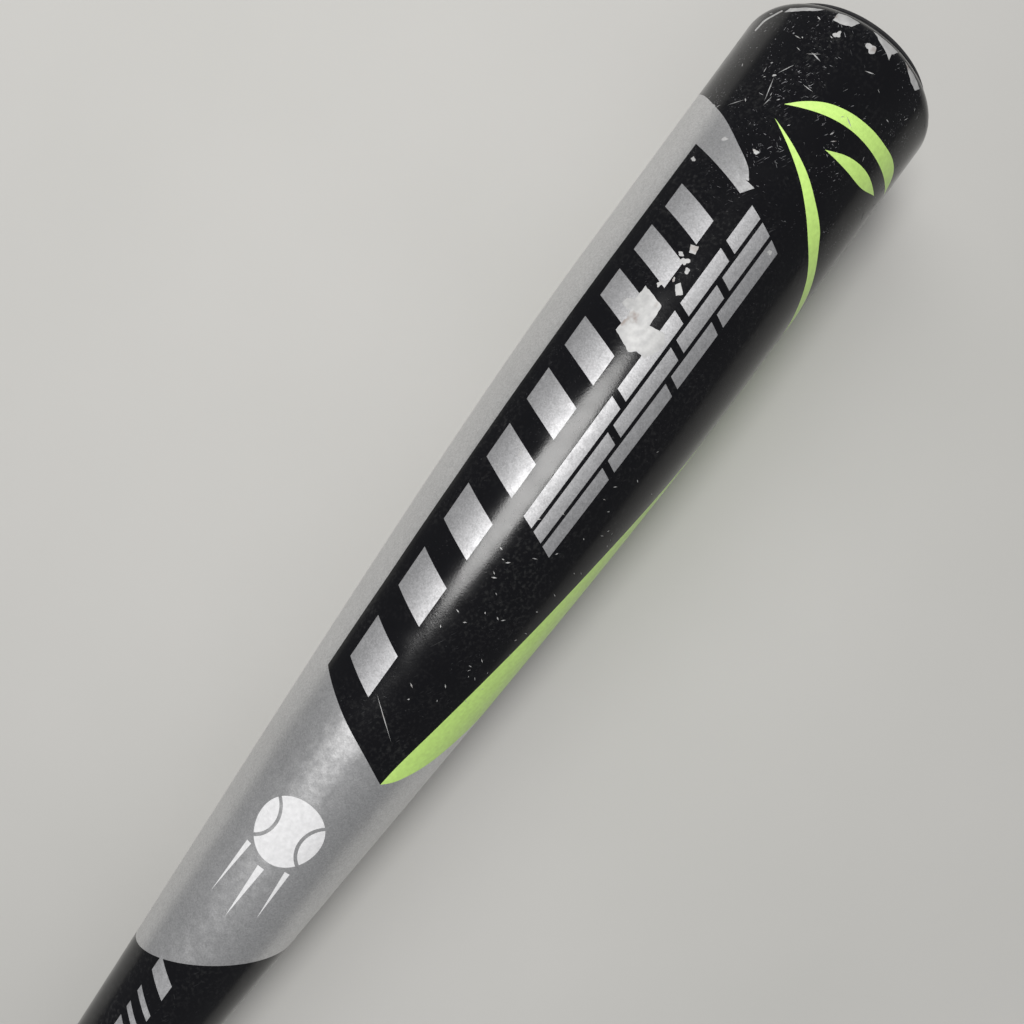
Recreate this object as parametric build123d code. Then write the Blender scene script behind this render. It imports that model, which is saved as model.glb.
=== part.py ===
from build123d import *
import os

# Baseball bat: a one-piece aluminium tube with a bonded end cap, a welded knob and a wound grip.
# The bat's axis is X. The origin is the centre of the knob's end face, and +X runs towards the barrel end.
# All sizes are in millimetres. Every outline is drawn as (distance along the axis, radius).

# ---- The bat as a whole ----
bat_length = 838.0  # 33 inches overall, end cap included
barrel_radius = 66.7 / 2  # 2 5/8 inch barrel
handle_radius = 24.6 / 2  # 31/32 inch bare handle
barrel_wall = 3.0
handle_wall = 2.1
full_barrel = 98.0  # stretch at full radius, measured from the barrel end
taper_length = 424.0
barrel_ease = 110.0  # how gently the taper leaves the barrel
handle_ease = 102.0  # how gently it runs into the handle

# ---- Barrel end: the tube is turned in to a lip, and the end cap snaps into it ----
turn_in_radius = 6.0  # outside rounding of the turned-in end
inner_turn_radius = 3.0
lip_thickness = 3.0
lip_bore_radius = 25.5
cap_radius = 28.2  # flange that lies on the lip
cap_height = 2.4  # how far the cap stands out of the tube
cap_edge = 0.8  # rounding of the flange
dish_radius = 24.0
dish_depth = 3.0
cap_wall = 2.4
skirt_clearance = 0.1
skirt_length = 17.0
snap_height = 1.0
snap_length = 3.0
rib_count = 8
rib_thickness = 1.8
rib_depth = 10.0
hub_radius = 10.0
slug_radius = 8.0
slug_length = 7.0
adhesive_length = 9.0

# ---- Knob ----
knob_radius = 25.0
knob_edge = 3.4  # rounding between end face and rim
knob_rim_end = 10.5
neck_start = 22.0
neck_radius = 14.6
socket_clearance = 0.05
socket_floor = 7.0
vent_radius = 4.0
weld_length = 2.6
badge_radius = 17.0
badge_thickness = 0.4
plug_head_radius = 7.0
plug_head_thickness = 1.5
plug_barb_radius = 4.9
plug_barb_length = 3.0

# ---- Grip ----
underlay_thickness = 0.2
wrap_thickness = 1.6
wrap_end = 292.0
wrap_end_slope = 6.0
finishing_start = 276.0
finishing_end = 306.0
finishing_thickness = 0.3
damper_start = 30.0
damper_length = 45.0
damper_rounding = 2.0

# ---- Stations along the axis that follow from the sizes above ----
shell_end = bat_length - cap_height
lip_back = shell_end - lip_thickness
barrel_start = bat_length - full_barrel
taper_start = barrel_start - taper_length
barrel_bore = barrel_radius - barrel_wall
handle_bore = handle_radius - handle_wall
skirt_radius = lip_bore_radius - skirt_clearance
skirt_end = shell_end - skirt_length
grip_start = neck_start + weld_length
underlay_radius = handle_radius + underlay_thickness
wrap_radius = underlay_radius + wrap_thickness


def turned(outline):
    """Solid of revolution about the bat's axis, from a closed outline."""
    return revolve(make_face(outline), Axis.X)


def turned_polygon(*corners):
    return turned(Polyline(*corners, close=True).edges())


def turned_cylinder(radius, start, end):
    return turned_polygon((start, 0), (start, radius), (end, radius), (end, 0))


def taper(radius_at_handle, radius_at_barrel):
    """Smooth S-curve between handle and barrel, tangent to both."""
    return Bezier(
        (taper_start, radius_at_handle),
        (taper_start + handle_ease, radius_at_handle),
        (barrel_start - barrel_ease, radius_at_barrel),
        (barrel_start, radius_at_barrel),
    )


def bat_shell():
    """One tube for handle, taper and barrel. Its wall thickens towards the barrel."""
    turn_start = shell_end - turn_in_radius
    flat_radius = barrel_radius - turn_in_radius
    inner_turn = lip_back - inner_turn_radius
    lip_inside = barrel_bore - inner_turn_radius
    return turned([
        Line((socket_floor, handle_bore), (socket_floor, handle_radius)),
        Line((socket_floor, handle_radius), (taper_start, handle_radius)),
        taper(handle_radius, barrel_radius),
        Line((barrel_start, barrel_radius), (turn_start, barrel_radius)),
        CenterArc((turn_start, flat_radius), turn_in_radius, 0, 90),
        Line((shell_end, flat_radius), (shell_end, lip_bore_radius)),
        Line((shell_end, lip_bore_radius), (lip_back, lip_bore_radius)),
        Line((lip_back, lip_bore_radius), (lip_back, lip_inside)),
        CenterArc((inner_turn, lip_inside), inner_turn_radius, 0, 90),
        Line((inner_turn, barrel_bore), (barrel_start, barrel_bore)),
        taper(handle_bore, barrel_bore),
        Line((taper_start, handle_bore), (socket_floor, handle_bore)),
    ])


def end_cap():
    """Cap with a thin flange on the lip, a dished face, a skirt that snaps behind the lip, and ribs round a hub."""
    dish_floor = bat_length - dish_depth
    inner_face = dish_floor - cap_wall
    skirt_bore = skirt_radius - cap_wall
    snap_end = lip_back - snap_length
    edge_centre = (bat_length - cap_edge, cap_radius - cap_edge)
    body = turned([
        ThreePointArc((dish_floor, 0), (bat_length - 0.75 * dish_depth, dish_radius / 2), (bat_length, dish_radius)),
        Line((bat_length, dish_radius), (bat_length, cap_radius - cap_edge)),
        CenterArc(edge_centre, cap_edge, 0, 90),
        Line((bat_length - cap_edge, cap_radius), (shell_end, cap_radius)),
        Line((shell_end, cap_radius), (shell_end, skirt_radius)),
        Line((shell_end, skirt_radius), (lip_back, skirt_radius)),
        Line((lip_back, skirt_radius), (lip_back, skirt_radius + snap_height)),
        Line((lip_back, skirt_radius + snap_height), (snap_end, skirt_radius)),
        Line((snap_end, skirt_radius), (skirt_end, skirt_radius)),
        Line((skirt_end, skirt_radius), (skirt_end, skirt_bore)),
        Line((skirt_end, skirt_bore), (inner_face, skirt_bore)),
        Line((inner_face, skirt_bore), (inner_face, 0)),
        Line((inner_face, 0), (dish_floor, 0)),
    ])
    rib_end = inner_face - rib_depth
    body += turned_polygon(
        (rib_end, slug_radius), (rib_end, hub_radius), (inner_face, hub_radius), (inner_face, slug_radius))
    rib_inside = hub_radius - cap_wall / 3
    rib_outside = skirt_bore + cap_wall / 3
    rib = Pos((rib_end + inner_face) / 2, (rib_inside + rib_outside) / 2, 0) * Box(
        rib_depth, rib_outside - rib_inside, rib_thickness)
    for index in range(rib_count):
        body += Rot(index * 360 / rib_count, 0, 0) * rib
    return body


def end_cap_adhesive():
    """Bead between the cap's skirt and the tube, behind the snap ridge."""
    front = lip_back - inner_turn_radius
    back = front - adhesive_length
    return turned_polygon(
        (back, skirt_radius), (front, skirt_radius), (front, barrel_bore), (back + adhesive_length / 2, barrel_bore))


def end_cap_weight():
    """Slug poured into the cap's hub."""
    inner_face = bat_length - dish_depth - cap_wall
    return turned_cylinder(slug_radius, inner_face - slug_length, inner_face)


def knob():
    """Round knob with a flared neck, a socket for the tube, a vent hole and a shallow recess in its end face."""
    socket_radius = handle_radius + socket_clearance
    flat_radius = knob_radius - knob_edge
    head_back = badge_thickness + plug_head_thickness
    flare = neck_start - knob_rim_end
    return turned([
        Line((badge_thickness, plug_head_radius), (badge_thickness, badge_radius)),
        Line((badge_thickness, badge_radius), (0, badge_radius)),
        Line((0, badge_radius), (0, flat_radius)),
        CenterArc((knob_edge, flat_radius), knob_edge, 90, 90),
        Line((knob_edge, knob_radius), (knob_rim_end, knob_radius)),
        Bezier(
            (knob_rim_end, knob_radius),
            (knob_rim_end + 0.42 * flare, knob_radius),
            (knob_rim_end + 0.33 * flare, neck_radius),
            (neck_start, neck_radius),
        ),
        Line((neck_start, neck_radius), (neck_start, socket_radius)),
        Line((neck_start, socket_radius), (socket_floor, socket_radius)),
        Line((socket_floor, socket_radius), (socket_floor, vent_radius)),
        Line((socket_floor, vent_radius), (head_back, vent_radius)),
        Line((head_back, vent_radius), (head_back, plug_head_radius)),
        Line((head_back, plug_head_radius), (badge_thickness, plug_head_radius)),
    ])


def knob_weld():
    """Bead in the corner between the knob's neck and the tube."""
    crown = (neck_start + 0.55 * weld_length, handle_radius + 0.6 * (neck_radius - handle_radius))
    return turned([
        Line((neck_start, handle_radius), (neck_start, neck_radius)),
        ThreePointArc((neck_start, neck_radius), crown, (grip_start, handle_radius)),
        Line((grip_start, handle_radius), (neck_start, handle_radius)),
    ])


def knob_plug():
    """Plug with a flat head, a stem through the vent hole and a barb inside the tube."""
    head_back = badge_thickness + plug_head_thickness
    return turned_polygon(
        (badge_thickness, 0),
        (badge_thickness, plug_head_radius),
        (head_back, plug_head_radius),
        (head_back, vent_radius),
        (socket_floor, vent_radius),
        (socket_floor, plug_barb_radius),
        (socket_floor + plug_barb_length, vent_radius - 1),
        (socket_floor + plug_barb_length, 0),
    )


def knob_badge():
    """Round disc that lies flush in the knob's end face."""
    return turned_cylinder(badge_radius, 0, badge_thickness)


def handle_damper():
    """Foam plug inside the handle."""
    plug = turned_cylinder(handle_bore, damper_start, damper_start + damper_length)
    return fillet(plug.edges().filter_by(GeomType.CIRCLE), damper_rounding)


def grip_underlay():
    """Double-sided adhesive on the bare tube, under the whole wrap."""
    return turned_polygon(
        (grip_start, handle_radius),
        (grip_start, underlay_radius),
        (wrap_end, underlay_radius),
        (wrap_end, handle_radius),
    )


def grip_wrap():
    """Cushioned strip wound round the handle: a sleeve with a skived upper end."""
    return turned_polygon(
        (grip_start, underlay_radius),
        (grip_start, wrap_radius),
        (wrap_end - wrap_end_slope, wrap_radius),
        (wrap_end, underlay_radius),
    )


def grip_finishing_tape():
    """Tape over the grip's upper end: on the wrap, down its slope and onto the bare tube."""
    slope_start = wrap_end - wrap_end_slope
    slope_per_millimetre = wrap_thickness / wrap_end_slope
    tube_start = wrap_end + underlay_thickness / slope_per_millimetre
    rise = finishing_thickness
    return turned_polygon(
        (finishing_start, wrap_radius),
        (finishing_start, wrap_radius + rise),
        (slope_start, wrap_radius + rise),
        (tube_start, handle_radius + rise),
        (finishing_end, handle_radius + rise),
        (finishing_end, handle_radius),
        (tube_start, handle_radius),
        (wrap_end, underlay_radius),
        (slope_start, wrap_radius),
    )


pieces = [
    bat_shell,
    end_cap,
    end_cap_adhesive,
    end_cap_weight,
    knob,
    knob_weld,
    knob_plug,
    knob_badge,
    handle_damper,
    grip_underlay,
    grip_wrap,
    grip_finishing_tape,
]

os.makedirs("parts", exist_ok=True)
for piece in pieces:
    export_step(piece(), f"parts/{piece.__name__}.step")
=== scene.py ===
import math
import bpy
import numpy as np
from mathutils import Matrix, Vector
from mathutils.geometry import delaunay_2d_cdt


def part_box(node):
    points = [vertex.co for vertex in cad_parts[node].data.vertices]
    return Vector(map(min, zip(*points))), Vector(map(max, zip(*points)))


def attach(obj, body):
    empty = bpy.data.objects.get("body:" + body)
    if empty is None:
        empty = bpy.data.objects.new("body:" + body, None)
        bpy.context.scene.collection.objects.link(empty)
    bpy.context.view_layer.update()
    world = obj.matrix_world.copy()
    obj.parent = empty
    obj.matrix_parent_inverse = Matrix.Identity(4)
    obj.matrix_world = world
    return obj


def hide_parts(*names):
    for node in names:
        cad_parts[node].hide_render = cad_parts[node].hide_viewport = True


# A used aluminium baseball bat, lying on a pale table and seen from above its barrel.
# The bat's axis is X, from the knob's end face (x = 0) to the barrel end. Lengths are in millimetres and
# MM turns them into Blender's metres, except in materials, whose scales and distances are in metres. Angles
# round the bat are in degrees, 0 on top (+Z) and positive towards +Y.

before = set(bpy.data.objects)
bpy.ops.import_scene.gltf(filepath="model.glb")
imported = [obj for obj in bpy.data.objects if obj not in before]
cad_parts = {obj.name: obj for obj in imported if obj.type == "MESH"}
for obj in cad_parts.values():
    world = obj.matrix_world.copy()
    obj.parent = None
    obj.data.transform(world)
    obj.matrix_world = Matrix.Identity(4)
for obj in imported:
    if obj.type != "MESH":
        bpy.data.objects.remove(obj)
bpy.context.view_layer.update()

MM = 0.001


def node_size(node):
    """Lowest and highest corner of a CAD node, in millimetres."""
    low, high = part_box(node)
    return np.array(low) / MM, np.array(high) / MM


# --------------------------------------------------------------------------------------------------
# Sizes. Those that a CAD node's box can tell are read from it, the rest repeat the CAD model's.
# --------------------------------------------------------------------------------------------------

bat_end = node_size("end_cap")[1][0]
shell_start = node_size("bat_shell")[0][0]
shell_end = node_size("bat_shell")[1][0]
barrel_radius = node_size("bat_shell")[1][2]
handle_radius = node_size("grip_underlay")[1][2] - 0.2
full_barrel = 98.0
taper_length = 424.0
barrel_ease = 110.0
handle_ease = 102.0
turn_in = 6.0
barrel_start = bat_end - full_barrel
taper_start = barrel_start - taper_length
turn_start = shell_end - turn_in
handle_wall = 2.1
barrel_wall = 3.0
lip_thickness = 3.0
knob_radius = 25.0

paint = 0.08  # how far the paint stands out from the tube
coat_depth = 0.3  # how thick a coat's mesh is, most of it sunk into the tube


def bezier(points, count):
    """Points along a cubic curve with four control points."""
    t = np.linspace(0, 1, count)[:, None]
    a, b, c, d = (np.array(p, dtype=float) for p in points)
    return (1 - t) ** 3 * a + 3 * (1 - t) ** 2 * t * b + 3 * (1 - t) * t**2 * c + t**3 * d


taper_curve = bezier(
    [
        (taper_start, handle_radius),
        (taper_start + handle_ease, handle_radius),
        (barrel_start - barrel_ease, barrel_radius),
        (barrel_start, barrel_radius),
    ],
    800,
)

# Soft dents: station along the bat, angle, spread, depth.
dents = [
    (623.2, 63.0, 9.0, 0.22),
    (660.2, 58.0, 6.0, 0.16),
    (566.2, 38.0, 7.0, 0.2),
    (545.2, -46.0, 8.0, 0.2),
    (517.2, -38.0, 5.0, 0.14),
    (705.2, 66.0, 8.0, 0.16),
    (595.2, 150.0, 10.0, 0.25),
    (750.2, -150.0, 9.0, 0.25),
]


def dent_depth(x, angle):
    depth = np.zeros(np.broadcast(x, angle).shape)
    for station, round_angle, spread, deepest in dents:
        turn = (angle - round_angle + 180) % 360 - 180
        across = np.radians(turn) * barrel_radius
        depth = depth + deepest * np.exp(-((x - station) ** 2 + across**2) / spread**2)
    return depth


def shell_profile(station):
    """Distance along the axis and radius of the bare tube. Past the turn's start, station follows the arc."""
    turned = np.clip((station - turn_start) / turn_in, 0, math.pi / 2)
    x = np.where(station > turn_start, turn_start + turn_in * np.sin(turned), station)
    radius = np.interp(x, taper_curve[:, 0], taper_curve[:, 1])
    radius = np.where(station > turn_start, barrel_radius - turn_in + turn_in * np.cos(turned), radius)
    return x, radius


def shell_points(station, angle, lift):
    """Points on the dented tube, lifted along its normal."""
    x, radius = shell_profile(station)
    radius = radius - dent_depth(x, angle)
    turned = np.clip((station - turn_start) / turn_in, 0, math.pi / 2)
    x = x + lift * np.sin(turned)
    radius = radius + lift * np.cos(turned)
    round_angle = np.radians(angle)
    return np.stack([x, radius * np.sin(round_angle), radius * np.cos(round_angle)], axis=-1) * MM


def shell_normals(station, angle):
    step = 0.2
    along = shell_points(station + step, angle, 0) - shell_points(station - step, angle, 0)
    around = shell_points(station, angle + step, 0) - shell_points(station, angle - step, 0)
    normal = np.cross(along, around)
    return normal / np.linalg.norm(normal, axis=-1, keepdims=True)


# --------------------------------------------------------------------------------------------------
# Mesh helpers
# --------------------------------------------------------------------------------------------------


def new_object(name, vertices, faces, materials, face_material=None):
    """Smooth-shaded mesh object with sharp edges where faces meet at more than 35 degrees."""
    mesh = bpy.data.meshes.new(name)
    mesh.from_pydata([tuple(v) for v in vertices], [], [tuple(f) for f in faces])
    for material in materials:
        mesh.materials.append(material)
    if face_material is not None:
        mesh.polygons.foreach_set("material_index", np.asarray(face_material, dtype=np.int32))
    mesh.polygons.foreach_set("use_smooth", np.ones(len(mesh.polygons), dtype=bool))
    mesh.update()
    mesh.set_sharp_from_angle(angle=math.radians(35))
    made = bpy.data.objects.new(name, mesh)
    bpy.context.scene.collection.objects.link(made)
    return made


def finish_piece(made, node):
    """Puts a piece on the bat's one rigid body and hides the CAD node it stands for."""
    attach(made, "root")
    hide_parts(node)
    return made


def grid_faces(rows, columns, closed_rows=False):
    """Quads of a grid whose columns close into rings, and whose rows close too if asked."""
    faces = []
    for i in range(rows if closed_rows else rows - 1):
        for j in range(columns):
            right = (j + 1) % columns
            below = (i + 1) % rows
            faces.append((i * columns + j, below * columns + j, below * columns + right, i * columns + right))
    return faces


def arc(centre_x, centre_radius, radius, start_degrees, end_degrees, count=10):
    """Points of an arc in the plane of x and radius."""
    turn = np.radians(np.linspace(start_degrees, end_degrees, count))
    return [(centre_x + radius * math.cos(t), centre_radius + radius * math.sin(t)) for t in turn]


def line(start, end, count):
    """Evenly spaced points on a straight line."""
    return [tuple(p) for p in np.linspace(start, end, count)]


def lathe(name, outline, material, segments=160, shape=None):
    """Closed solid turned about the bat's axis from a closed outline of (x, radius).

    shape(x, radius, angle), if given, returns the radius of a point at that angle.
    """
    outline = np.array(outline, dtype=float)
    angle = np.arange(segments) * 360 / segments
    x = np.repeat(outline[:, :1], segments, axis=1)
    radius = np.repeat(outline[:, 1:], segments, axis=1)
    if shape:
        radius = shape(x, radius, angle[None, :])
    turn = np.radians(angle)[None, :]
    points = np.stack([x, radius * np.sin(turn), radius * np.cos(turn)], axis=-1).reshape(-1, 3) * MM
    faces = grid_faces(len(outline), segments, closed_rows=True)
    return new_object(name, points, faces, [material])


def disc_lathe(name, outline, materials, segments=160, ring_material=None):
    """Turned solid whose outline starts and ends on the axis, where it is closed by fans.

    ring_material(x, radius), if given, returns the material number of the ring that starts there.
    """
    outline = np.array(outline, dtype=float)
    inner = outline[1:-1]
    angle = np.radians(np.arange(segments) * 360 / segments)[None, :]
    x = np.repeat(inner[:, :1], segments, axis=1)
    radius = inner[:, 1:]
    points = np.stack([x, radius * np.sin(angle), radius * np.cos(angle)], axis=-1).reshape(-1, 3)
    points = np.vstack([points, [outline[0][0], 0, 0], [outline[-1][0], 0, 0]]) * MM
    faces = grid_faces(len(inner), segments)
    first, last = len(points) - 2, len(points) - 1
    end_row = (len(inner) - 1) * segments
    face_material = [ring_material(*p) if ring_material else 0 for p in inner[:-1]]
    face_material = list(np.repeat(face_material, segments))
    for j in range(segments):
        right = (j + 1) % segments
        faces.append((first, j, right))
        faces.append((last, end_row + right, end_row + j))
    ends = [ring_material(*outline[0]), ring_material(*outline[-1])] if ring_material else [0, 0]
    face_material += ends * segments
    return new_object(name, points, faces, materials, face_material)


# --------------------------------------------------------------------------------------------------
# Materials. Texture scales are per metre, because object coordinates are in metres.
# --------------------------------------------------------------------------------------------------


class Shader:
    """A Principled material with short calls for its texture nodes."""

    def __init__(self, name, colour, roughness, metallic=0.0, coat=0.0, coat_roughness=0.1, specular=0.5):
        self.material = bpy.data.materials.new(name)
        self.material.use_nodes = True
        self.material.diffuse_color = (*colour, 1)
        self.nodes = self.material.node_tree.nodes
        self.links = self.material.node_tree.links
        self.shader = self.nodes["Principled BSDF"]
        self.shader.inputs["Base Color"].default_value = (*colour, 1)
        self.shader.inputs["Roughness"].default_value = roughness
        self.shader.inputs["Metallic"].default_value = metallic
        self.shader.inputs["Coat Weight"].default_value = coat
        self.shader.inputs["Coat Roughness"].default_value = coat_roughness
        self.shader.inputs["Specular IOR Level"].default_value = specular
        self.place = self.nodes.new("ShaderNodeTexCoord").outputs["Object"]

    def mapped(self, scale=(1, 1, 1), rotation=(0, 0, 0), location=(0, 0, 0), vector=None):
        node = self.nodes.new("ShaderNodeMapping")
        node.inputs["Scale"].default_value = scale
        node.inputs["Rotation"].default_value = [math.radians(a) for a in rotation]
        node.inputs["Location"].default_value = location
        self.links.new(vector or self.place, node.inputs["Vector"])
        return node.outputs["Vector"]

    def noise(self, scale, detail=2.0, vector=None):
        node = self.nodes.new("ShaderNodeTexNoise")
        node.inputs["Scale"].default_value = scale
        node.inputs["Detail"].default_value = detail
        self.links.new(vector or self.place, node.inputs["Vector"])
        return node.outputs["Fac"]

    def cells(self, scale, output="Distance", feature="F1"):
        node = self.nodes.new("ShaderNodeTexVoronoi")
        node.feature = feature
        node.inputs["Scale"].default_value = scale
        self.links.new(self.place, node.inputs["Vector"])
        return node.outputs[output]

    def band(self, value, low, high, to_low=0.0, to_high=1.0):
        """Maps low..high to to_low..to_high, clamped."""
        node = self.nodes.new("ShaderNodeMapRange")
        for socket, number in zip(("From Min", "From Max", "To Min", "To Max"), (low, high, to_low, to_high)):
            node.inputs[socket].default_value = number
        self.links.new(value, node.inputs["Value"])
        return node.outputs["Result"]

    def maths(self, operation, first, second):
        node = self.nodes.new("ShaderNodeMath")
        node.operation = operation
        for socket, value in zip(node.inputs, (first, second)):
            if isinstance(value, (int, float)):
                socket.default_value = value
            else:
                self.links.new(value, socket)
        return node.outputs["Value"]

    def along(self):
        """Station along the bat, in metres."""
        node = self.nodes.new("ShaderNodeSeparateXYZ")
        self.links.new(self.place, node.inputs["Vector"])
        return node.outputs["X"]

    def colour_mix(self, mask, first, second):
        node = self.nodes.new("ShaderNodeMix")
        node.data_type = "RGBA"
        self.links.new(mask, node.inputs["Factor"])
        for socket, value in zip((node.inputs[6], node.inputs[7]), (first, second)):
            if isinstance(value, tuple):
                socket.default_value = (*value, 1)
            else:
                self.links.new(value, socket)
        return node.outputs[2]

    def bump(self, height, strength, distance, under=None):
        node = self.nodes.new("ShaderNodeBump")
        node.inputs["Strength"].default_value = strength
        node.inputs["Distance"].default_value = distance
        self.links.new(height, node.inputs["Height"])
        if under:
            self.links.new(under, node.inputs["Normal"])
        return node.outputs["Normal"]

    def set(self, socket, value):
        self.links.new(value, self.shader.inputs[socket])

    def streaks(self, direction, length_scale, width_scale, threshold, shift=0.0):
        """Sparse thin scratches that run at an angle to the bat's axis, in the plane seen from above."""
        turned = self.mapped(rotation=(0, 0, direction), location=(shift, shift, shift))
        vector = self.mapped(scale=(length_scale, width_scale, width_scale), vector=turned)
        lines = self.band(self.noise(1.0, 1.0, vector), threshold, threshold + 0.03)
        patches = self.band(self.noise(70.0, 1.0, self.mapped(location=(shift + 3, 0, 0))), 0.5, 0.6)
        return self.maths("MULTIPLY", lines, patches)

    def nicks(self, scale, size, share):
        """Small round nicks: a spot in the middle of a share of the cells."""
        spot = self.band(self.cells(scale), size, size * 0.7)
        chosen = self.band(self.cells(scale, "Color"), 1 - share, 1 - share + 0.01)
        return self.maths("MULTIPLY", spot, chosen)


black_tone = (0.0024, 0.0024, 0.0034)


def metallic_paint(name, colour, roughness, flake):
    """Silver paint: flakes that differ in tone and tilt, under a clear coat."""
    made = Shader(name, colour, roughness, metallic=0.8, coat=0.1, coat_roughness=0.25)
    tone = made.band(made.cells(2600.0, "Color"), 0.0, 1.0, 1 - flake, 1 + flake)
    broad = made.band(made.noise(35.0, 3.0), 0.3, 0.7, 0.96, 1.03)
    level = made.maths("MULTIPLY", tone, broad)
    scuffs = made.maths("MAXIMUM", made.streaks(35, 170.0, 2600.0, 0.72), made.nicks(210.0, 0.07, 0.12))
    scuffs = made.maths("MULTIPLY", scuffs, 0.5)
    darkest = tuple(c * 0.5 for c in colour)
    lightest = tuple(c * 1.5 for c in colour)
    grey = made.colour_mix(made.band(level, 0.5, 1.5), darkest, lightest)
    made.set("Base Color", made.colour_mix(scuffs, grey, (0.72, 0.72, 0.7)))
    made.set("Roughness", made.band(made.noise(400.0, 2.0), 0.3, 0.7, roughness - 0.04, roughness + 0.06))
    grain = made.bump(made.noise(2400.0, 1.0), 0.35, 0.00004)
    made.set("Normal", made.bump(made.noise(240.0, 2.0), 0.12, 0.0001, grain))
    return made.material


def black_paint(name, wear_start):
    """Black paint, more scratched towards the barrel end, past wear_start (metres)."""
    made = Shader(name, black_tone, 0.2, coat=0.05, coat_roughness=0.1, specular=0.35)
    zone = made.band(made.along(), wear_start, wear_start + 0.03, 0.12, 1.0)
    fine = made.streaks(28, 230.0, 3600.0, 0.7)
    crossing = made.streaks(-52, 260.0, 3200.0, 0.72, 5.0)
    steep = made.streaks(80, 300.0, 3000.0, 0.72, 9.0)
    scratches = made.maths("MAXIMUM", made.maths("MAXIMUM", fine, crossing), steep)
    nicks = made.maths("MAXIMUM", made.nicks(260.0, 0.09, 0.14), made.nicks(620.0, 0.12, 0.1))
    worn = made.maths("MULTIPLY", made.maths("MAXIMUM", scratches, nicks), zone)
    dust = made.band(made.noise(900.0, 3.0), 0.5, 0.8, 0.0, 0.04)
    dust = made.maths("MULTIPLY", dust, made.band(made.noise(45.0, 2.0), 0.4, 0.65))
    scratched = made.colour_mix(worn, black_tone, (0.2, 0.2, 0.21))
    made.set("Base Color", made.colour_mix(dust, scratched, (0.5, 0.5, 0.48)))
    rough = made.band(made.noise(150.0, 3.0), 0.3, 0.7, 0.13, 0.21)
    made.set("Roughness", made.maths("ADD", rough, made.maths("MULTIPLY", worn, 0.3)))
    flaky = made.bump(made.noise(1700.0, 2.0), 0.3, 0.00005)
    made.set("Normal", made.bump(worn, 0.4, -0.00006, flaky))
    return made.material


def flat_paint(name, colour, roughness=0.38, speckle=0.05):
    """Printed colour with a little unevenness and a few nicks."""
    made = Shader(name, colour, roughness, coat=0.2, coat_roughness=0.2)
    level = made.band(made.noise(700.0, 3.0), 0.3, 0.7, 0.0, 1.0)
    darker = tuple(c * (1 - 2 * speckle) for c in colour)
    lighter = tuple(min(1.0, c * (1 + speckle)) for c in colour)
    ink = made.colour_mix(level, darker, lighter)
    made.set("Base Color", made.colour_mix(made.nicks(300.0, 0.08, 0.1), ink, (0.3, 0.3, 0.28)))
    made.set("Roughness", made.band(made.noise(300.0, 2.0), 0.3, 0.7, roughness - 0.05, roughness + 0.07))
    made.set("Normal", made.bump(made.noise(1500.0, 2.0), 0.2, 0.00004))
    return made.material


def bare_metal(name):
    """Primer and bare alloy that show where the paint has chipped off."""
    made = Shader(name, (0.6, 0.6, 0.58), 0.5, metallic=0.25)
    level = made.band(made.noise(450.0, 4.0), 0.35, 0.7)
    bare = made.colour_mix(level, (0.36, 0.36, 0.36), (0.47, 0.47, 0.465))
    grime = made.band(made.noise(180.0, 3.0), 0.6, 0.7, 0.0, 0.55)
    made.set("Base Color", made.colour_mix(grime, bare, (0.16, 0.1, 0.07)))
    made.set("Normal", made.bump(made.noise(700.0, 2.0), 0.15, 0.00005))
    return made.material


def moulded(name, colour, roughness, grain_scale=1800.0, grain=0.25):
    """Moulded plastic or rubber with a fine spark-eroded grain."""
    made = Shader(name, colour, roughness)
    level = made.band(made.noise(120.0, 3.0), 0.35, 0.65)
    made.set("Base Color", made.colour_mix(level, colour, tuple(c * 1.6 + 0.004 for c in colour)))
    made.set("Roughness", made.band(made.noise(500.0, 2.0), 0.3, 0.7, roughness - 0.07, roughness + 0.08))
    made.set("Normal", made.bump(made.noise(grain_scale, 2.0), grain, 0.00006))
    return made.material


def grip_polymer(name):
    """Cushioned polymer with a pebbled face and hand wear."""
    made = Shader(name, (0.018, 0.018, 0.019), 0.62)
    worn = made.band(made.noise(28.0, 3.0), 0.42, 0.66)
    made.set("Base Color", made.colour_mix(worn, (0.014, 0.014, 0.015), (0.042, 0.041, 0.04)))
    made.set("Roughness", made.maths("SUBTRACT", made.band(made.noise(90.0, 2.0), 0.3, 0.7, 0.58, 0.74),
                                     made.maths("MULTIPLY", worn, 0.12)))
    pebbles = made.bump(made.cells(720.0, "Distance", "SMOOTH_F1"), 0.75, 0.00022)
    made.set("Normal", made.bump(made.noise(2200.0, 2.0), 0.25, 0.00005, pebbles))
    return made.material


silver = metallic_paint("silver_paint", (0.57, 0.57, 0.575), 0.32, 0.16)
bright_silver = metallic_paint("bright_silver_paint", (0.45, 0.45, 0.46), 0.52, 0.2)
black = black_paint("black_paint", 0.765)
lime = flat_paint("lime_paint", (0.5, 0.74, 0.19))
white = flat_paint("white_paint", (0.66, 0.66, 0.67))
metal = bare_metal("bare_alloy")
cap_plastic = moulded("cap_plastic", (0.012, 0.012, 0.013), 0.42)
tape_vinyl = moulded("tape_vinyl", (0.013, 0.013, 0.014), 0.4, 900.0, 0.35)
hidden_rubber = moulded("hidden_rubber", (0.03, 0.03, 0.03), 0.7)
hidden_tape = moulded("hidden_tape", (0.45, 0.44, 0.4), 0.7)
hidden_glue = moulded("hidden_glue", (0.24, 0.19, 0.1), 0.4)
knob_paint = black_paint("knob_paint", 0.0)
grip_black = grip_polymer("grip_polymer")


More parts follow.
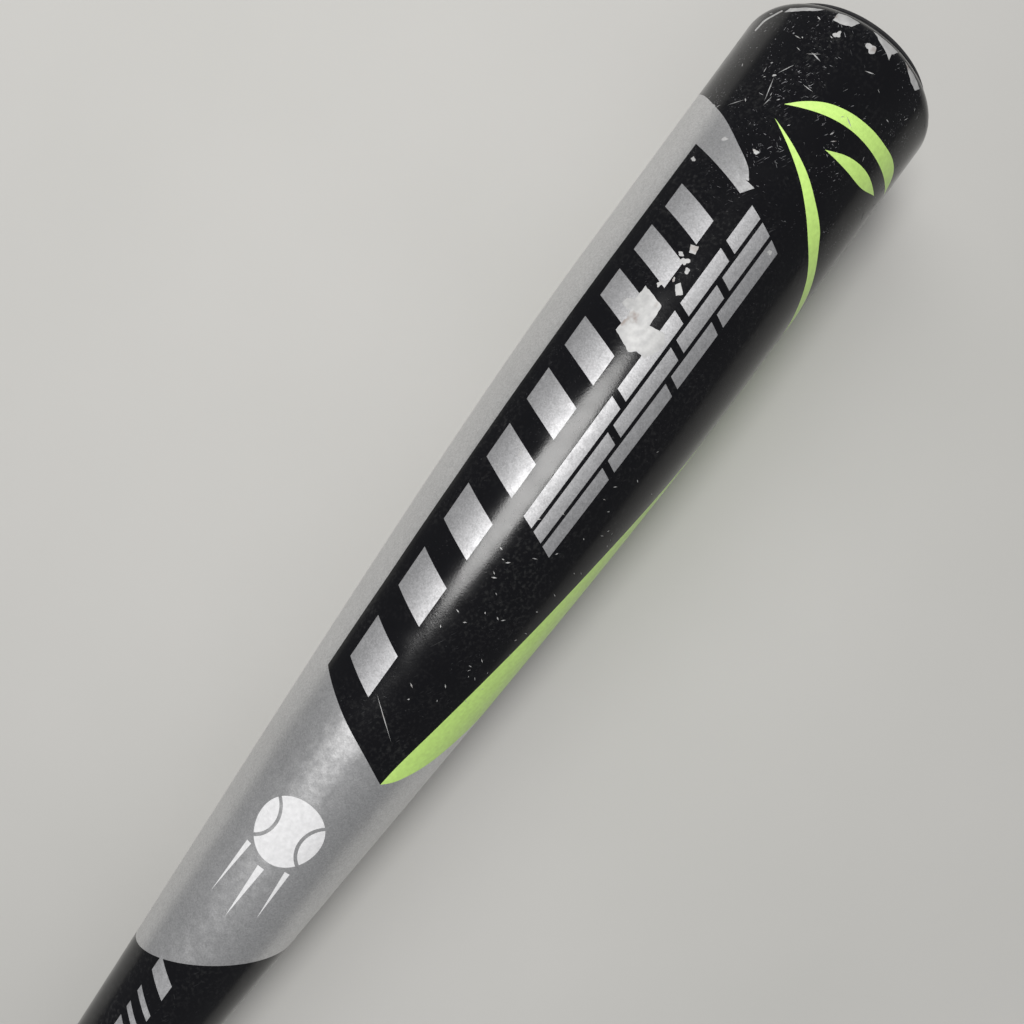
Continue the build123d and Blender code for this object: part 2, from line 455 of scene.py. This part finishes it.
# --------------------------------------------------------------------------------------------------
# Paint layout. Outlines are drawn on the tube's outside as (station along the bat, angle). The coats are
# cut from one flat map of it and rolled round the tube.
# --------------------------------------------------------------------------------------------------

around = math.radians(barrel_radius)  # length of one degree on the barrel
coat_start = 303.0  # under the finishing tape
coat_end = turn_start + turn_in * math.radians(80)  # under the end cap's edge
slant = 0.215  # how far a slanted edge moves along the bat in one degree


def divided(points, closed=True, step=1.2):
    """Outline with points added, so that no edge is longer than step."""
    points = [np.array(p, dtype=float) for p in points]
    ends = points[1:] + points[:1] if closed else points[1:]
    made = []
    for start, end in zip(points, ends):
        gap = (end - start) * (1, around)
        count = max(1, math.ceil(math.hypot(*gap) / step))
        made += [start + (end - start) * k / count for k in range(count)]
    return made if closed else made + [points[-1]]


def curved(points, steps=8):
    """Smooth curve through all the points."""
    p = np.array(points, dtype=float)
    p = np.vstack([2 * p[0] - p[1], p, 2 * p[-1] - p[-2]])
    made = []
    for k in range(1, len(p) - 2):
        for t in np.arange(steps) / steps:
            straight_part = (2 * p[k] + (p[k + 1] - p[k - 1]) * t) / 2
            bend = (2 * p[k - 1] - 5 * p[k] + 4 * p[k + 1] - p[k + 2]) * t**2 / 2
            twist = (3 * p[k] - p[k - 1] - 3 * p[k + 1] + p[k + 2]) * t**3 / 2
            made.append(tuple(straight_part + bend + twist))
    return made + [tuple(p[-2])]


def degree_length(station):
    """Length of one degree round the tube at a station."""
    return math.radians(float(shell_profile(np.array(station))[1]))


def blob(station, angle, length, width, turn, seed, roughness=0.25, count=22):
    """Irregular round shape; length and width are its half sizes, turned from the bat's axis."""
    draw = np.random.default_rng(seed)
    waves = draw.uniform(-1, 1, (4, 2))
    made = []
    for t in np.linspace(0, 2 * math.pi, count, endpoint=False):
        swell = 1 + roughness * sum(
            (a * math.cos((k + 2) * t) + b * math.sin((k + 2) * t)) / (1 + 0.5 * k)
            for k, (a, b) in enumerate(waves))
        u, v = length * swell * math.cos(t), width * swell * math.sin(t)
        c, s = math.cos(math.radians(turn)), math.sin(math.radians(turn))
        made.append((station + u * c - v * s, angle + (u * s + v * c) / degree_length(station)))
    return made


def roughened(outline, seed, amount=0.13, step=1.0):
    """Outline with a ragged edge."""
    draw = np.random.default_rng(seed)
    ragged = 0.6
    scale = (ragged, 1 / around * ragged)
    return [tuple(p + draw.normal(0, amount, 2) * scale) for p in divided(outline, True, step)]


def quad(low, high, low_start, low_end, high_start, high_end):
    """Four-cornered shape between two angles, with its stations at each of them."""
    return [(low_start, low), (low_end, low), (high_end, high), (high_start, high)]


def slanted(start, end, low, high):
    """Parallelogram with slanted ends; start and end are its stations at angle 0."""
    return quad(low, high, start + slant * low, end + slant * low, start + slant * high, end + slant * high)


def taper_line():
    """Where the handle's black meets the silver."""
    return [(496.7 - 12.5 * math.sin(math.radians(a)), a) for a in np.arange(-180, 181, 3.0)]


def end_line():
    """Where the silver meets the black end of the barrel."""
    seen = [
        (776.7, 5.0), (777.5, 7.3), (780.8, 12.0), (785.2, 23.1), (790.5, 36.9), (794.4, 49.7), (799.8, 69.5),
    ]
    far = [(804.7, 95.0), (807.2, 125.0), (807.2, 160.0), (807.2, 180.0)]
    near = [(807.2, -180.0), (805.2, -150.0), (800.2, -130.0), (791.2, -112.0)]
    front = [(776.2, -90.0), (773.2, -40.0), *seen, *far]
    return divided(curved(near, 6), False) + divided(curved(front, 6), False)


def leaf(front, back, steps=8):
    """Pointed shape between two smooth curves that share their ends."""
    return curved(front, steps)[:-1] + curved(back, steps)[:-1]


def domain_side(line_points, side):
    """Closed outline between a line round the tube and the map's far edge."""
    return list(line_points) + [(side, 180.0), (side, -180.0)]


panel_start = [(592.0, 47.7), (588.4, 32.0), (584.0, 13.2), (579.1, -9.0), (573.5, -31.5)]
spear_top = [
    (573.5, -31.5), (582.1, -33.4), (599.5, -39.7), (634.8, -51.9), (670.9, -63.4), (705.2, -77.0),
    (750.2, -97.0), (798.2, -120.0),
]
spear_bottom = [
    (798.2, -120.0), (785.2, -139.0), (745.2, -143.0), (705.2, -137.0), (655.2, -121.0), (617.2, -96.0),
    (595.2, -68.0), (584.7, -55.0), (576.7, -41.0), (573.5, -31.5),
]

band_top = 44.0

crescent_inner = [
    (796.5, 15.2), (791.1, 0.0), (786.3, -12.9), (782.2, -22.8), (776.4, -36.6), (771.6, -50.1),
    (767.7, -59.2), (753.2, -88.0),
]
crescent_inner_back = [
    (753.2, -88.0), (765.5, -76.0), (777.5, -47.5), (781.2, -39.1), (785.4, -25.6), (788.9, -14.7),
    (792.4, -1.5), (796.5, 15.2),
]
crescent_outer = [
    (801.3, 15.7), (805.0, 8.1), (808.2, -1.5), (810.3, -12.9), (811.7, -26.2), (812.7, -40.6),
    (813.6, -53.4), (813.0, -64.4), (809.4, -74.0),
]
crescent_outer_back = [
    (809.4, -74.0), (808.8, -60.0), (808.1, -42.0), (807.6, -30.0), (806.8, -18.0), (805.0, -4.0),
    (801.3, 15.7),
]
echo = [(797.6, -14.0), (801.4, -27.0), (803.4, -42.0), (803.4, -60.0)]
echo_back = [(803.4, -60.0), (799.4, -45.0), (798.2, -30.0), (797.6, -14.0)]


def window_row():
    """Slanted windows along the band's top, ever narrower."""
    low, high = 9.5, 35.5
    start, pitch, window_share, shrink = 591.5, 25.5, 0.58, 0.93
    made = []
    for _ in range(9):
        made.append(slanted(start, start + window_share * pitch, low, high))
        start += pitch
        pitch *= shrink
    return made


def stripe_rows():
    """Three rows of stripes, ever shorter towards the end, with their gaps stepped from row to row."""
    gap, step = 2.6, 7.0
    made = []
    for row, (low, high) in enumerate([(-8.4, -1.2), (-17.4, -10.4), (-26.4, -19.4)]):
        breaks = [663.0, *(at - row * step for at in (708.0, 738.0, 760.0)), 775.0]
        made += [slanted(start, end - gap, low, high) for start, end in zip(breaks, breaks[1:])]
    return made


def ball_mark():
    """Ball with two seams and three streaks behind it: the white mark and the silver seams on it."""
    centre, size = 546.7, 10.8
    degree = degree_length(centre)
    seam_radius, seam_offset, seam_width = 8.6, 13.2, 0.55
    turns = np.linspace(0, 2 * math.pi, 60, False)
    ball = [(centre + size * math.cos(t), size * math.sin(t) / degree) for t in turns]
    seams = []
    for side in (-1, 1):
        reach = np.radians(np.linspace(-56, 56, 16))
        outer = [(seam_radius + seam_width, t) for t in reach]
        inner = [(seam_radius - seam_width, t) for t in reach[::-1]]
        seams.append([
            (centre + radius * math.sin(t), side * (seam_offset - radius * math.cos(t)) / degree)
            for radius, t in outer + inner])
    streaks = []
    for angle, reach, thick in ((19.0, 13.0, 4.2), (1.0, 8.0, 5.6), (-17.0, 15.0, 4.2)):
        tail = 510.2 + 0.6 * reach
        head = centre - math.sqrt(max(0.0, size**2 - (angle * degree) ** 2)) - 2.4
        streaks.append([(tail, angle * 1.15), (head, angle - thick / 2), (head, angle + thick / 2)])
    return [ball, *streaks], seams


def handle_dashes():
    """Row of slanted light-grey dashes on the black taper."""
    low, high = 2.0, 25.0
    made = []
    wide, narrow, shift = 5.5, 2.2, -2
    dashes = [
        (483.7, wide), (475.7, narrow), (469.7, narrow), (461.2, wide), (453.2, narrow), (447.2, narrow),
        (438.7, wide),
    ]
    for start, width in dashes:
        made.append(slanted(start + shift, start + shift + width, low, high))
    return made


def scratch(start, end, width=0.35):
    """Thin pointed scratch between two places."""
    (x0, a0), (x1, a1) = start, end
    degree = degree_length(x0)
    along_x, along_a = x1 - x0, (a1 - a0) * degree
    size = math.hypot(along_x, along_a)
    side_x, side_a = -along_a / size * width / 2, along_x / size * width / 2 / degree
    middle = ((x0 + x1) / 2, (a0 + a1) / 2)
    return [
        start, (middle[0] + side_x, middle[1] + side_a), end, (middle[0] - side_x, middle[1] - side_a)]


rim_chips = [
    [(828.9, 49.6), (830.5, 47.5), (831.3, 38.7), (832.3, 27.8), (830.6, 31.7), (829.5, 39.4)],
    [(829.5, 21.1), (832.8, 21.4), (833.7, 17.0), (833.0, 9.1), (830.1, 11.0), (829.4, 15.9)],
    [
        (833.4, 2.1), (833.5, -6.0), (833.6, -15.7), (830.6, -12.7), (828.8, -13.5), (829.7, -10.9),
        (831.1, -4.5),
    ],
    [(833.0, -20.5), (832.6, -30.0), (831.6, -37.6), (829.6, -35.3), (829.7, -31.3), (830.8, -25.7)],
    [(823.5, 64.0), (826.9, 62.5), (829.9, 52.5), (829.3, 51.0), (826.2, 59.6), (822.8, 62.0)],
]
worn_patches = [
    [(728.7, 22.8), (730.6, 22.2), (731.4, 18.7), (730.1, 16.4), (727.8, 17.9)],
    [
        (736.4, 17.7), (735.1, 11.0), (734.0, 5.2), (727.4, 4.4), (728.2, -3.8), (726.0, -7.1), (722.7, -6.2),
        (719.2, -3.2), (719.4, 2.2), (717.9, 5.1), (719.6, 11.0), (721.3, 17.1), (725.7, 16.0), (731.6, 18.4),
    ],
    [(753.2, 11.7), (753.9, 7.6), (751.4, 7.0), (751.0, 10.0)],
    [(741.2, 6.3), (742.7, 4.6), (740.0, 0.0), (738.7, 2.7)],
]
small_chips = [
    (826.2, 14.8, 1.1), (828.0, -2.8, 1.5), (794.3, 51.4, 1.0), (784.9, 30.6, 1.0), (785.4, 12.8, 0.8),
    (776.1, 39.1, 0.9), (749.4, 12.8, 0.9), (748.2, 9.2, 1.3), (746.3, 5.4, 0.8), (739.0, 12.6, 0.9),
    (742.1, 8.2, 0.6), (765.4, -22.5, 0.8), (808.0, 29.2, 0.6), (676.7, 20.0, 0.7), (832.4, -64.0, 1.6),
    (831.8, 88.0, 1.5), (832.0, 131.0, 1.2), (831.6, -142.0, 1.6), (822.0, -118.0, 0.9), (812.0, 150.0, 1.0),
]
long_scratches = [
    ((808.1, 29.3), (813.9, 22.5)), ((808.1, 29.0), (799.3, 24.8)), ((817.0, 23.0), (819.3, 14.5)),
    ((808.9, 14.5), (808.4, 7.0)), ((794.5, 44.0), (799.0, 33.0)), ((596.5, 8.0), (586.0, -20.0)),
]


def chips():
    """Where the paint has come off: along the rim, in the worn middle of the band, and in small nicks."""
    draw = np.random.default_rng(7)
    made = [roughened(outline, seed) for seed, outline in enumerate(rim_chips + worn_patches)]
    for seed, (station, angle, size) in enumerate(small_chips):
        made.append(blob(station, angle, size, size * draw.uniform(0.6, 1.0), draw.uniform(0, 180), seed))
    made += [scratch(start, end, 0.3) for start, end in long_scratches]
    end_scratches, band_nicks = 90, 50
    for _ in range(end_scratches):
        station, angle = draw.uniform(795, 830), draw.uniform(-180, 180)
        turn, length = draw.uniform(0, math.pi), draw.exponential(1.6) + 0.8
        end = (station + length * math.cos(turn), angle + length * math.sin(turn) / around)
        made.append(scratch((station, angle), end, draw.uniform(0.2, 0.45)))
    for _ in range(band_nicks):
        station, angle = draw.uniform(600, 705), draw.uniform(-62, 2)
        reach = (draw.uniform(-1.2, 1.2), draw.uniform(1.0, 3.2))
        end = (station + reach[0], angle + reach[1])
        made.append(scratch((station, angle), end, draw.uniform(0.25, 0.5)))
    return made


# --------------------------------------------------------------------------------------------------
# Paint coats
# --------------------------------------------------------------------------------------------------


def inside(outline, points):
    """Even-odd test of many points against one outline."""
    outline = np.array(outline, dtype=float)
    low, high = outline.min(axis=0), outline.max(axis=0)
    near = np.all((points >= low) & (points <= high), axis=1)
    found = np.zeros(len(points), dtype=bool)
    x, y = points[near, 0][:, None], points[near, 1][:, None]
    x0, y0 = outline[:, 0], outline[:, 1]
    x1, y1 = np.roll(x0, -1), np.roll(y0, -1)
    spans = (y0 > y) != (y1 > y)
    rise = np.where(y1 == y0, 1, y1 - y0)
    crosses = spans & (x < (x1 - x0) * (y - y0) / rise + x0)
    found[near] = crosses.sum(axis=1) % 2 == 1
    return found


def paint_layers():
    """Names of the paints and their outlines, from the lowest layer to the highest."""
    mark, seams = ball_mark()
    top_edge = [panel_start[0], (781.0, band_top), (773.0, 7.0), (795.0, -20.0), (800.0, -115.0)]
    panel = top_edge + curved(spear_top, 6)[::-1][1:-1] + curved(panel_start, 6)[::-1][:-1]
    return [
        ("silver", [domain_side(taper_line(), coat_end + 1)]),
        ("lime", [leaf(spear_top, spear_bottom, 6)]),
        ("black", [panel]),
        ("bright", window_row() + stripe_rows()),
        ("black", [domain_side(end_line(), coat_end + 1)]),
        ("lime", [leaf(crescent_inner, crescent_inner_back)]),
        ("lime", [leaf(crescent_outer, crescent_outer_back)]),
        ("lime", [leaf(echo, echo_back)]),
        ("white", mark),
        ("silver", seams),
        ("grey", handle_dashes()),
        ("chip", chips()),
    ]


def flat_map():
    """Triangles of the whole painted surface, with every outline among their edges, and each one's paint."""
    layers = paint_layers()
    coarse, fine, degrees = 3.0, 0.8, 2.5
    stations = list(np.arange(coat_start, turn_start - 1, coarse))
    stations += list(np.arange(turn_start, coat_end, fine)) + [coat_end]
    angles = np.arange(-180, 180.1, degrees)
    points = [Vector((s, a * around)) for s in stations for a in angles]
    edges = []
    for _, outlines in layers:
        for outline in outlines:
            ring = divided(outline)
            first = len(points)
            inside_map = np.clip(ring, (coat_start, -180), (coat_end, 180)) * (1, around)
            points += [Vector(p) for p in inside_map]
            edges += [(first + k, first + (k + 1) % len(ring)) for k in range(len(ring))]
    made = delaunay_2d_cdt(points, edges, [], 0, 1e-4)
    flat = np.array([tuple(v) for v in made[0]]) / (1, around)
    triangles = np.array([tuple(f) for f in made[2]])
    centres = flat[triangles].mean(axis=1)
    paints = np.full(len(triangles), "handle", dtype=object)
    for name, outlines in layers:
        for outline in outlines:
            paints[inside(outline, centres)] = name
    return flat, triangles, paints


def coat(name, flat, triangles, material):
    """One closed coat: triangles on its outside, the same ones below, and a wall round every edge."""
    used, local = np.unique(triangles, return_inverse=True)
    local = local.reshape(-1, 3)
    station, angle = flat[used].T
    # The map's two sides meet at the back of the bat, so their points are merged.
    key = np.round(np.stack([station, np.where(angle > 179.99, angle - 360, angle)], axis=1), 3)
    _, first, merged = np.unique(key, axis=0, return_index=True, return_inverse=True)
    local = merged.reshape(-1)[local]
    station, angle = station[first], angle[first]
    count = len(first)
    top = shell_points(station, angle, paint)
    bottom = shell_points(station, angle, paint - coat_depth)
    normals = shell_normals(station, angle)
    three_corners = (local[:, 0] != local[:, 1]) & (local[:, 1] != local[:, 2]) & (local[:, 2] != local[:, 0])
    local = local[three_corners]
    sides = {}
    for a, b, c in local.tolist():
        for edge in ((a, b), (b, c), (c, a)):
            sides[edge] = True
    rim = [(a, b) for a, b in sides if (b, a) not in sides]
    faces = local.tolist() + (local[:, ::-1] + count).tolist()
    faces += [(b, a, a + count, b + count) for a, b in rim]
    made = new_object(name, np.vstack([top, bottom]), faces, [material])
    loop_normals = [tuple(normals[v]) for v in local.reshape(-1)]
    loop_normals += [tuple(-normals[v]) for v in local[:, ::-1].reshape(-1)]
    for a, b in rim:
        edge = top[b] - top[a]
        outward = np.cross(edge, normals[a])
        outward = outward / max(np.linalg.norm(outward), 1e-12)
        loop_normals += [tuple(outward)] * 4
    made.data.normals_split_custom_set(loop_normals)
    return finish_piece(made, "bat_shell")


flat, triangles, paints = flat_map()
coat_materials = {
    "silver_coat": (("silver",), silver),
    "black_coat": (("black",), black),
    "lime_coat": (("lime",), lime),
    "dash_coat": (("bright",), bright_silver),
    "mark_coat": (("white",), white),
    "handle_coat": (("handle",), black),
    "handle_dash_coat": (("grey",), bright_silver),
}
for coat_name, (names, material) in coat_materials.items():
    coat(coat_name, flat, triangles[np.isin(paints, names)], material)


# --------------------------------------------------------------------------------------------------
# The tube under the paint, in three lengths
# --------------------------------------------------------------------------------------------------


def tube_length(name, start, end):
    """Closed length of the tube. The last one takes in the turned-in lip."""
    lip_bore, inner_turn = 25.5, 3.0
    last = end >= turn_start
    stations = np.append(np.arange(start, end - 1, 3.0), end)
    _, outer = shell_profile(stations)
    wall = np.interp(stations, [taper_start, barrel_start], [handle_wall, barrel_wall])
    outline = list(zip(stations, outer))
    if last:
        inner_centre = (shell_end - lip_thickness - inner_turn, barrel_radius - barrel_wall - inner_turn)
        outline += arc(turn_start, barrel_radius - turn_in, turn_in, 90, 0, 12)[1:]
        outline += [(shell_end, lip_bore), (shell_end - lip_thickness, lip_bore)]
        outline += arc(*inner_centre, inner_turn, 0, 90, 6)
        keep = stations < inner_centre[0] - 1
        stations, outer, wall = stations[keep], outer[keep], wall[keep]
    outline += [(x, r) for x, r in zip(stations[::-1], (outer - wall)[::-1])]
    made = lathe(name, outline, metal, 144, lambda x, radius, angle: radius - dent_depth(x, angle))
    return finish_piece(made, "bat_shell")


tube_length("tube_handle", shell_start, 300.0)
tube_length("tube_taper", 300.0, 620.0)
tube_length("tube_barrel", 620.0, turn_start)


# --------------------------------------------------------------------------------------------------
# End cap, knob and grip
# --------------------------------------------------------------------------------------------------


def make_end_cap():
    """Cap with a thin grooved flange, a dished face with rings, and its skirt inside the tube."""
    cap_radius, edge, dish_radius, dish_depth, wall = 28.2, 0.8, 24.0, 3.0, 2.4
    skirt, skirt_start, snap = 25.4, shell_end - 17.0, 1.0
    lip_back = shell_end - lip_thickness
    floor = bat_end - dish_depth
    groove = shell_end + 1.1
    outline = [(floor - wall, 0), (floor - wall, skirt - wall)]
    outline += [(skirt_start, skirt - wall), (skirt_start, skirt)]
    outline += [(lip_back - 3.0, skirt), (lip_back, skirt + snap), (lip_back, skirt), (shell_end, skirt)]
    outline += [(shell_end, cap_radius - 0.15), (shell_end + 0.15, cap_radius), (groove - 0.25, cap_radius)]
    outline += [(groove, cap_radius - 0.3), (groove + 0.25, cap_radius)]
    outline += arc(bat_end - edge, cap_radius - edge, edge, 90, 0, 8)
    outline += [(bat_end, dish_radius + 0.3), (bat_end - 0.3, dish_radius)]
    ring_depth, ring_half, ring_pitch = 0.35, 0.5, 3.8
    for k in range(5):
        radius = dish_radius - 2.6 - k * ring_pitch
        for offset, depth in ((ring_half + 0.25, 0), (ring_half, 1), (-ring_half, 1), (-ring_half - 0.25, 0)):
            at = radius + offset
            outline.append((floor + dish_depth * (at / dish_radius) ** 2 * 0.9 - ring_depth * depth, at))
    outline += [(floor + 0.05, 2.2), (floor + 0.5, 1.6), (floor + 0.5, 0)]
    made = disc_lathe("end_cap_face", outline, [cap_plastic], 160)
    return finish_piece(made, "end_cap")


def make_knob():
    """Turned knob with a recess for the badge, a socket for the tube and a flared neck."""
    radius, edge, rim_end, neck_start, neck_radius = knob_radius, 3.4, 10.5, 22.0, 14.6
    recess_radius, recess_depth, socket, plug_radius = 17.0, 0.4, handle_radius + 0.05, 7.0
    flare = neck_start - rim_end
    outline = [(recess_depth, plug_radius), (recess_depth, recess_radius)]
    outline += [(0.1, recess_radius), (0, recess_radius + 0.1)]
    outline += arc(edge, radius - edge, edge, 180, 90, 12)
    outline += line((edge, radius), (rim_end, radius), 5)[1:]
    neck = bezier(
        [(rim_end, radius), (rim_end + 0.42 * flare, radius), (rim_end + 0.33 * flare, neck_radius),
         (neck_start, neck_radius)], 26)
    outline += [tuple(p) for p in neck[1:]]
    vent_radius, plug_seat = 4.0, 1.9
    outline += [(neck_start, socket), (shell_start, socket), (shell_start, vent_radius)]
    outline += [(plug_seat, vent_radius), (plug_seat, plug_radius)]
    return finish_piece(lathe("knob_body", outline, knob_paint, 160), "knob")


def make_badge():
    """Printed disc in the knob's end face: plain rings."""
    rings = [
        (5.6, 0), (6.0, 1), (7.2, 1), (7.6, 0), (12.9, 0), (13.3, 1), (14.5, 1), (14.9, 0), (16.6, 0),
    ]
    raised = 0.03
    outline = [(0.0, 0.0)]
    for radius, printed in rings:
        outline.append((0.06 - raised * printed, radius))
    outline += [(0.1, 16.9), (0.38, 16.95), (0.38, 0.0)]
    printed_rings = ((5.7, 7.3), (13.0, 14.6))

    def ring_material(x, radius):
        return int(x < 0.2 and any(low < radius < high for low, high in printed_rings))

    made = disc_lathe("knob_badge_disc", outline, [badge_black, lime], 160, ring_material)
    return finish_piece(made, "knob_badge")


def make_grip():
    """Strip wound round the handle: each turn laps the one before it, with a groove beside the lap."""
    start, end, slope = 22.4, 292.0, 6.0
    pitch, inner, thin, thick = 24.0, 12.5, 1.3, 1.72
    stations = np.append(np.arange(start, end - 0.1, 0.5), end)

    def wound(x, radius, angle):
        phase = ((x - start) / pitch - angle / 360) % 1.0
        lap = np.clip((phase - 0.80) / 0.035, 0, 1) * np.clip((1.0 - phase) / 0.05, 0, 1)
        groove = np.exp(-((phase - 0.785) / 0.018) ** 2)
        crown = 0.10 * np.sin(np.clip(phase / 0.8, 0, 1) * math.pi)
        height = thin + crown + (thick - thin) * lap - 0.32 * groove
        height = height * np.clip((end - x) / slope, 0.02, 1) * np.clip(0.55 + (x - start) / 2.0, 0, 1)
        return np.where(radius > inner + 0.5, inner + height, radius)

    outline = [(x, inner + thick) for x in stations] + [(end, inner), (start + 2.2, inner)]
    made = lathe("grip_spiral", outline, grip_black, 144, wound)
    return finish_piece(made, "grip_wrap")


def make_finishing_tape():
    """Two turns of vinyl tape over the grip's upper end."""
    start, slope_start, slope_end, end = 276.0, 286.0, 292.75, 306.0
    wrap_radius, tape = 14.22, 0.3

    def lapped(x, radius, angle):
        loose_end = np.clip((angle - 200) / 1.5, 0, 1) * np.clip((322 - angle) / 60, 0, 1)
        wave = 0.04 * np.sin(np.radians(angle) * 5) * np.exp(-(((x - end) / 5) ** 2))
        outside = radius > np.interp(x, [slope_start, slope_end], [wrap_radius, handle_radius]) + tape / 2
        return radius + outside * (0.1 * loose_end + wave)

    outer = line((start, wrap_radius + tape), (slope_start, wrap_radius + tape), 14)
    outer += line((slope_start, wrap_radius + tape), (slope_end, handle_radius + tape), 8)[1:]
    outer += line((slope_end, handle_radius + tape), (end, handle_radius + tape), 16)[1:]
    inner = [(end, handle_radius), (slope_end, handle_radius)]
    inner += [(slope_start, wrap_radius), (start, wrap_radius)]
    made = lathe("finishing_tape_turns", outer + inner, tape_vinyl, 144, lapped)
    return finish_piece(made, "grip_finishing_tape")


badge_black = moulded("badge_black", (0.012, 0.012, 0.013), 0.35)
make_end_cap()
make_knob()
make_badge()
make_grip()
make_finishing_tape()

hidden_looks = {
    "end_cap_adhesive": hidden_glue,
    "end_cap_weight": hidden_rubber,
    "knob_weld": knob_paint,
    "knob_plug": hidden_rubber,
    "handle_damper": hidden_rubber,
    "grip_underlay": hidden_tape,
}
for node, material in hidden_looks.items():
    for material_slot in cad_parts[node].material_slots:
        material_slot.material = material


# --------------------------------------------------------------------------------------------------
# Table, light and camera
# --------------------------------------------------------------------------------------------------


def make_table():
    """Large pale table top that touches the barrel and the knob's rim."""
    barrel_low = -(barrel_radius + paint)
    knob_low = -knob_radius
    knob_foot = 7.0  # about the middle of the knob's straight rim
    fall = (barrel_low - knob_low) / (barrel_start - knob_foot)
    size = 4000.0
    corners = []
    for x, y in ((-1, -1), (1, -1), (1, 1), (-1, 1)):
        place = barrel_start + x * size
        corners.append((place * MM, y * size * MM, (barrel_low + fall * (place - barrel_start)) * MM))
    made = Shader("table_top", (0.43, 0.425, 0.41), 0.7)
    level = made.band(made.noise(6.0, 4.0), 0.3, 0.7)
    made.set("Base Color", made.colour_mix(level, (0.42, 0.417, 0.4), (0.445, 0.44, 0.425)))
    made.set("Normal", made.bump(made.noise(25.0, 3.0), 0.2, 0.0008))
    new_object("table", corners, [(0, 1, 2, 3)], [made.material])


def make_lights():
    """One soft lamp that gives the highlights, two weak fills that don't show in them, and an even sky."""
    warm = (1.0, 0.99, 0.975)

    def area(name, place, aim, size, power, colour):
        lamp = bpy.data.lights.new(name, "AREA")
        lamp.shape = "DISK"
        lamp.size = size
        lamp.energy = power
        lamp.color = colour
        made = bpy.data.objects.new(name, lamp)
        made.location = Vector(place) * MM
        made.rotation_euler = (Vector(aim) - Vector(place)).to_track_quat("-Z", "Y").to_euler()
        bpy.context.scene.collection.objects.link(made)
        return made

    area("main_light", (620, 260, 1500), (620, 0, 0), 0.7, 18.3, warm)
    for name, place, aim, size, power in (
            ("barrel_fill", (1000, 350, 500), (760, 0, 0), 0.5, 2.3),
            ("handle_fill", (200, -350, 500), (500, 0, 0), 0.6, 0.75)):
        area(name, place, aim, size, power, warm).visible_glossy = False
    world = bpy.data.worlds.new("studio")
    world.use_nodes = True
    background = world.node_tree.nodes["Background"]
    background.inputs["Color"].default_value = (0.95, 0.97, 1.0, 1)
    background.inputs["Strength"].default_value = 0.2
    bpy.context.scene.world = world


def make_camera():
    """Camera above the barrel, looking straight down, with the bat's axis running up to the right."""
    turn = math.radians(53.72)
    place = Vector((661.7, 2.72, 290.0))
    right = Vector((math.cos(turn), -math.sin(turn), 0))
    up = Vector((math.sin(turn), math.cos(turn), 0))
    back = right.cross(up)
    lens = bpy.data.cameras.new("camera")
    lens.sensor_width = 36.0
    lens.lens = 31.8
    lens.clip_start = 0.01
    camera = bpy.data.objects.new("camera", lens)
    rotation = Matrix((right, up, back)).transposed().to_4x4()
    camera.matrix_world = Matrix.Translation(place * MM) @ rotation
    bpy.context.scene.collection.objects.link(camera)
    bpy.context.scene.camera = camera


make_table()
make_lights()
make_camera()
bpy.context.scene.view_settings.view_transform = "Standard"
